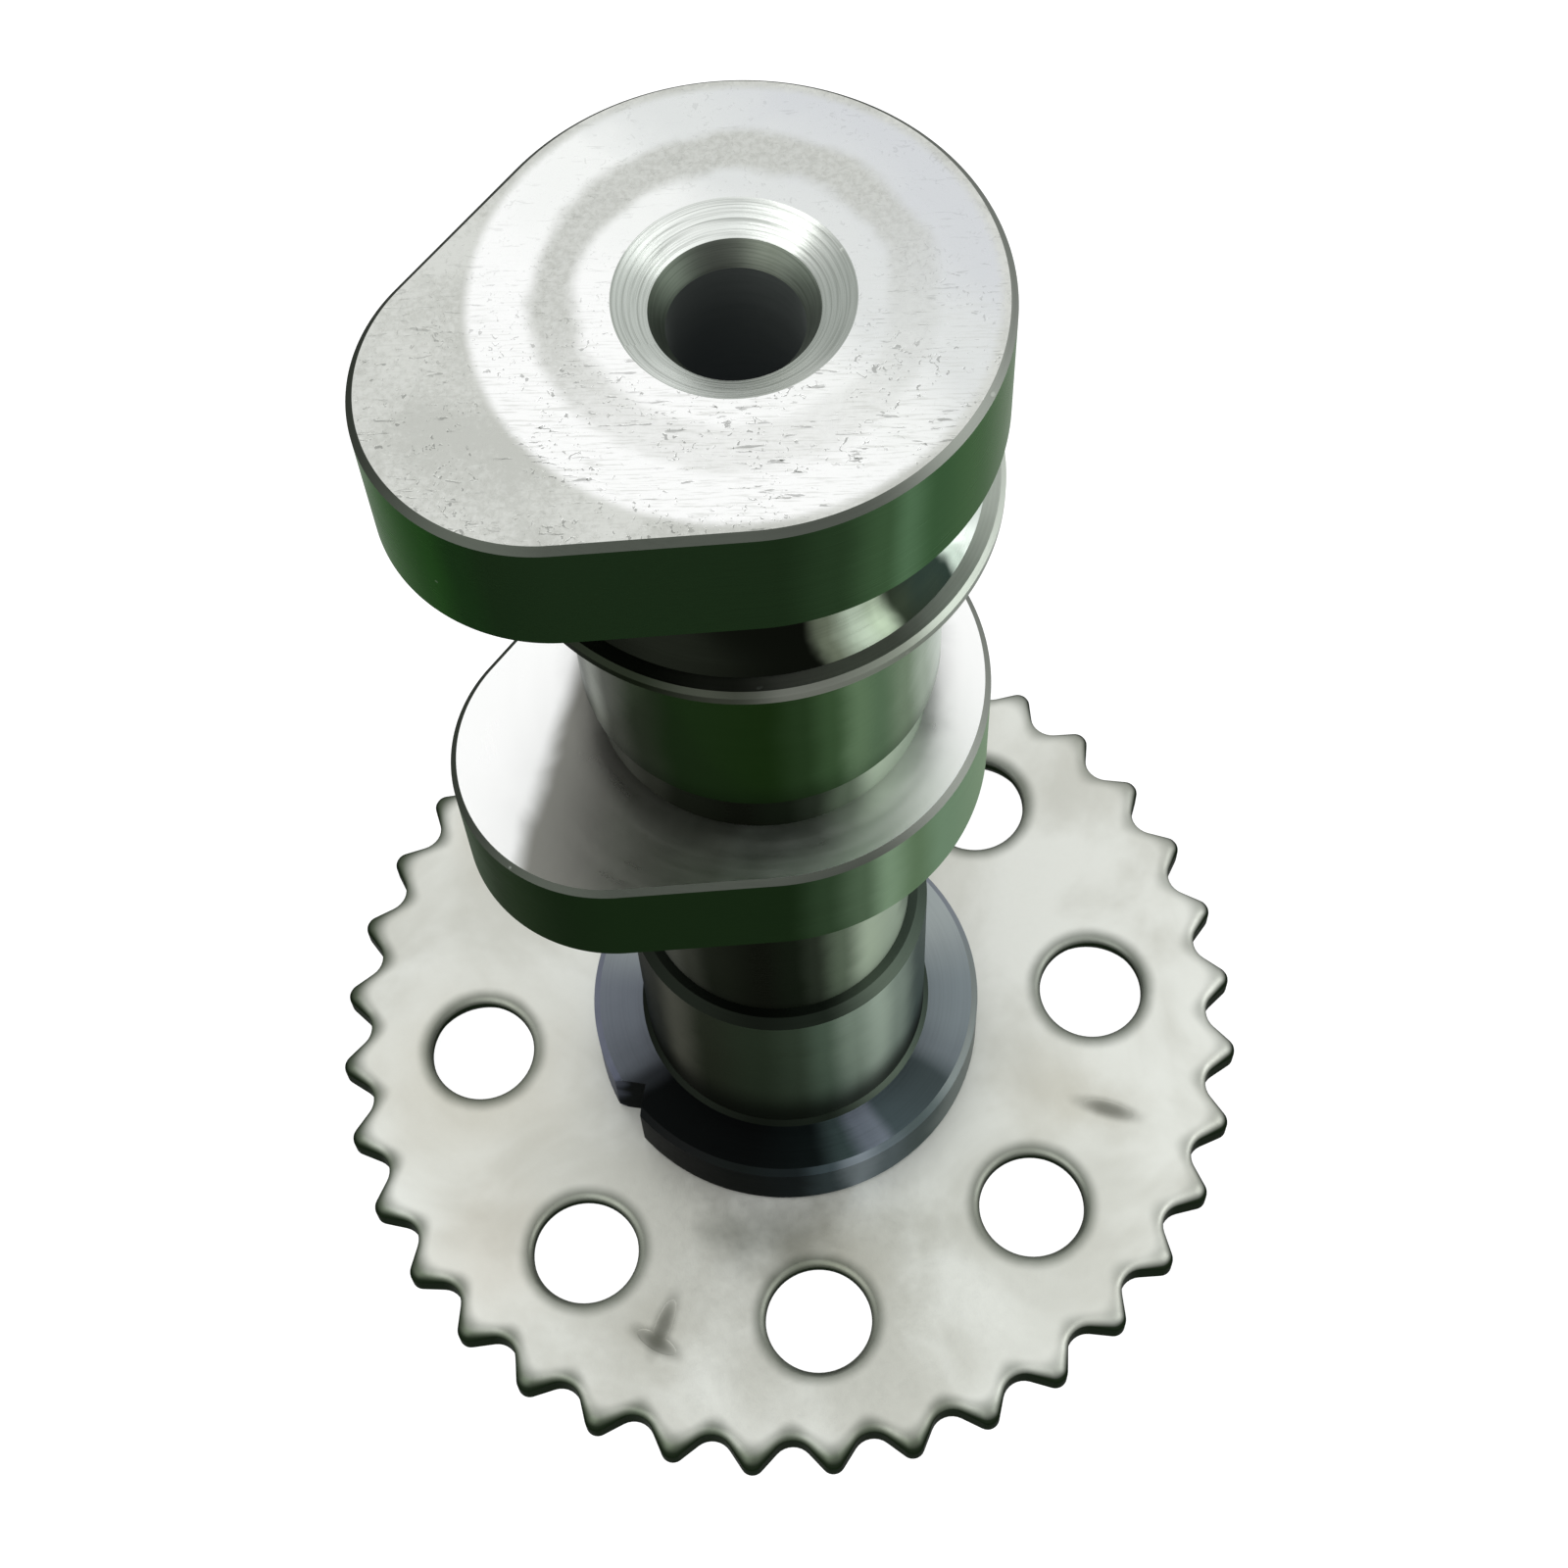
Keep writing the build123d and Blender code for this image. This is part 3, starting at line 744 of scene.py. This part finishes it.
def raiseTooth(inset, pull, drop, height):
    bpy.ops.mesh.extrude_region_move(TRANSFORM_OT_translate={"value": (0, 0, 0.1 * mm)})
    mesh = bmesh.from_edit_mesh(bpy.context.object.data)
    ring["cap"] = {v.index for v in mesh.verts if v.select}
    setTooth(inset, pull, drop, height)


def turnPiece(piece, turn):
    bpy.ops.object.select_all(action="DESELECT")
    piece.select_set(True)
    bpy.context.view_layer.objects.active = piece
    piece.rotation_euler = (0, 0, math.radians(turn))
    bpy.ops.object.transform_apply(rotation=True)


def makeToothedDisc():
    corners = sprocket["teeth"] * sprocket["cornersPerTooth"]
    thick, edge, drop = sprocket["thick"], sprocket["edgeRound"], sprocket["tipDrop"]
    piece = startDisc("sprocketPiece", corners, sprocket["tipRadius"], 0)
    setTooth(0.2, 0, 0, 0)
    raiseTooth(0, 0, 0, 0.2)
    for step in range(sprocket["rimSteps"] + 1):
        angle = math.pi / 2 * step / sprocket["rimSteps"]
        inward = 1 - math.cos(angle)
        raiseTooth(edge * inward, sprocket["tipPull"] * inward, drop * (1 - math.sin(angle)), thick)
    raiseTooth(edge + sprocket["flatRing"], sprocket["tipPull"], 0, thick)
    closeMesh()
    turnPiece(piece, sprocket["tipTurn"] - sprocket["tipTurnAsMade"])
    return piece


def roundCutter(name, profile, corners):
    radius, height = profile[0]
    cutter = startDisc(name, corners, radius, height)
    for radius, height in profile[1:]:
        growRing(radius, height)
    closeMesh()
    return cutter


def drillPlate(piece):
    for hole in range(sprocket["holes"]):
        turn = math.radians(sprocket["holeTurn"] + hole * 360 / sprocket["holes"])
        cutter = roundCutter("holeCutter", sprocket["holeProfile"], sprocket["holeCorners"])
        reach = sprocket["holeCircle"] * mm
        cutter.location = (reach * math.cos(turn), reach * math.sin(turn), 0)
        cut(piece, cutter)
    radius = sprocket["spigotHole"]
    profile = [(radius, -1), (radius, sprocket["thick"] + 1)]
    cut(piece, roundCutter("spigotCutter", profile, sprocket["spigotCorners"]))


def stampMarks(piece):
    for reach, turn, tilt, length, width in marks["strokes"]:
        angle = math.radians(turn)
        bpy.ops.object.select_all(action="DESELECT")
        bpy.ops.mesh.primitive_uv_sphere_add(
            segments=32, ring_count=16, radius=1,
            location=(reach * mm * math.cos(angle), reach * mm * math.sin(angle), sprocket["thick"] * mm),
            rotation=(0, 0, angle + math.radians(tilt)),
        )
        cutter = bpy.context.object
        cutter.scale = (length / 2 * mm, width / 2 * mm, marks["depth"] * mm)
        cut(piece, cutter)


def levelNormals(piece):  # flat faces keep their own normal beside rounded edges
    bpy.context.view_layer.objects.active = piece
    weight = piece.modifiers.new("weight", "WEIGHTED_NORMAL")
    weight.keep_sharp = True
    bpy.ops.object.modifier_apply(modifier=weight.name)


sprocketPiece = makeToothedDisc()
drillPlate(sprocketPiece)
stampMarks(sprocketPiece)
sprocketPiece.data.materials.clear()
sprocketPiece.data.materials.append(plateSteel())
smooth(sprocketPiece, 40)
levelNormals(sprocketPiece)
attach(sprocketPiece, "root")
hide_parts("chain_sprocket")
print("sprocket modelled:", len(sprocketPiece.data.polygons), "faces")


# Table, light and camera

table = {"size": 1.6, "level": -0.00002, "colour": (120, 120, 120), "glow": 0.95}


def layTable():
    bpy.ops.object.select_all(action="DESELECT")
    bpy.ops.mesh.primitive_plane_add(size=table["size"], location=(0, 0, table["level"]))
    board = bpy.context.object
    board.name = "table"
    paint = Paint("tableTop")
    board.data.materials.append(paint.finish(linear(table["colour"]), 0.9, 0.0))
    paint.plug(paint.shader.inputs["Emission Color"], [1.0, 1.0, 1.0, 1.0])
    paint.plug(paint.shader.inputs["Emission Strength"], table["glow"])
    return board


lamps = {
    "left": {"place": (-0.5, -0.15, 0.45), "size": 0.6, "power": 3.0},
    "right": {"place": (0.45, -0.35, 0.4), "size": 0.4, "power": 2.0},
}


lampAim = (0, 0, 0.05)


def hangLamps():
    for name, lamp in lamps.items():
        bpy.ops.object.light_add(type="AREA", location=lamp["place"])
        light = bpy.context.object
        light.name = name
        light.data.size = lamp["size"]
        light.data.energy = lamp["power"]
        aim = Vector(lampAim) - Vector(lamp["place"])
        light.rotation_euler = aim.to_track_quat("-Z", "Y").to_euler()


sky = {"colour": (1.0, 1.0, 1.0, 1.0), "strength": 1.0}


def lightSky():
    world = bpy.data.worlds.new("sky")
    bpy.context.scene.world = world
    world.use_nodes = True
    backdrop = world.node_tree.nodes["Background"]
    backdrop.inputs["Color"].default_value = sky["colour"]
    backdrop.inputs["Strength"].default_value = sky["strength"]


view = {
    "place": (-36.4867, -80.6099, 222.5578),
    "turn": (28.966706, 1.659157, -28.294158),
    "lens": 64.9315,
    "sensor": 36.0,
    "shift": -0.075,
}


def setCamera():
    bpy.ops.object.camera_add(
        location=[p * mm for p in view["place"]], rotation=[math.radians(a) for a in view["turn"]]
    )
    camera = bpy.context.object
    camera.data.lens = view["lens"]
    camera.data.sensor_width = view["sensor"]
    camera.data.shift_y = view["shift"]
    camera.data.clip_start = 0.001
    bpy.context.scene.camera = camera


layTable()
hangLamps()
lightSky()
setCamera()
bpy.context.scene.view_settings.view_transform = "Standard"
print("table, lamps and camera set")


def plain(box):
    return [[float(n) for n in corner] for corner in box]
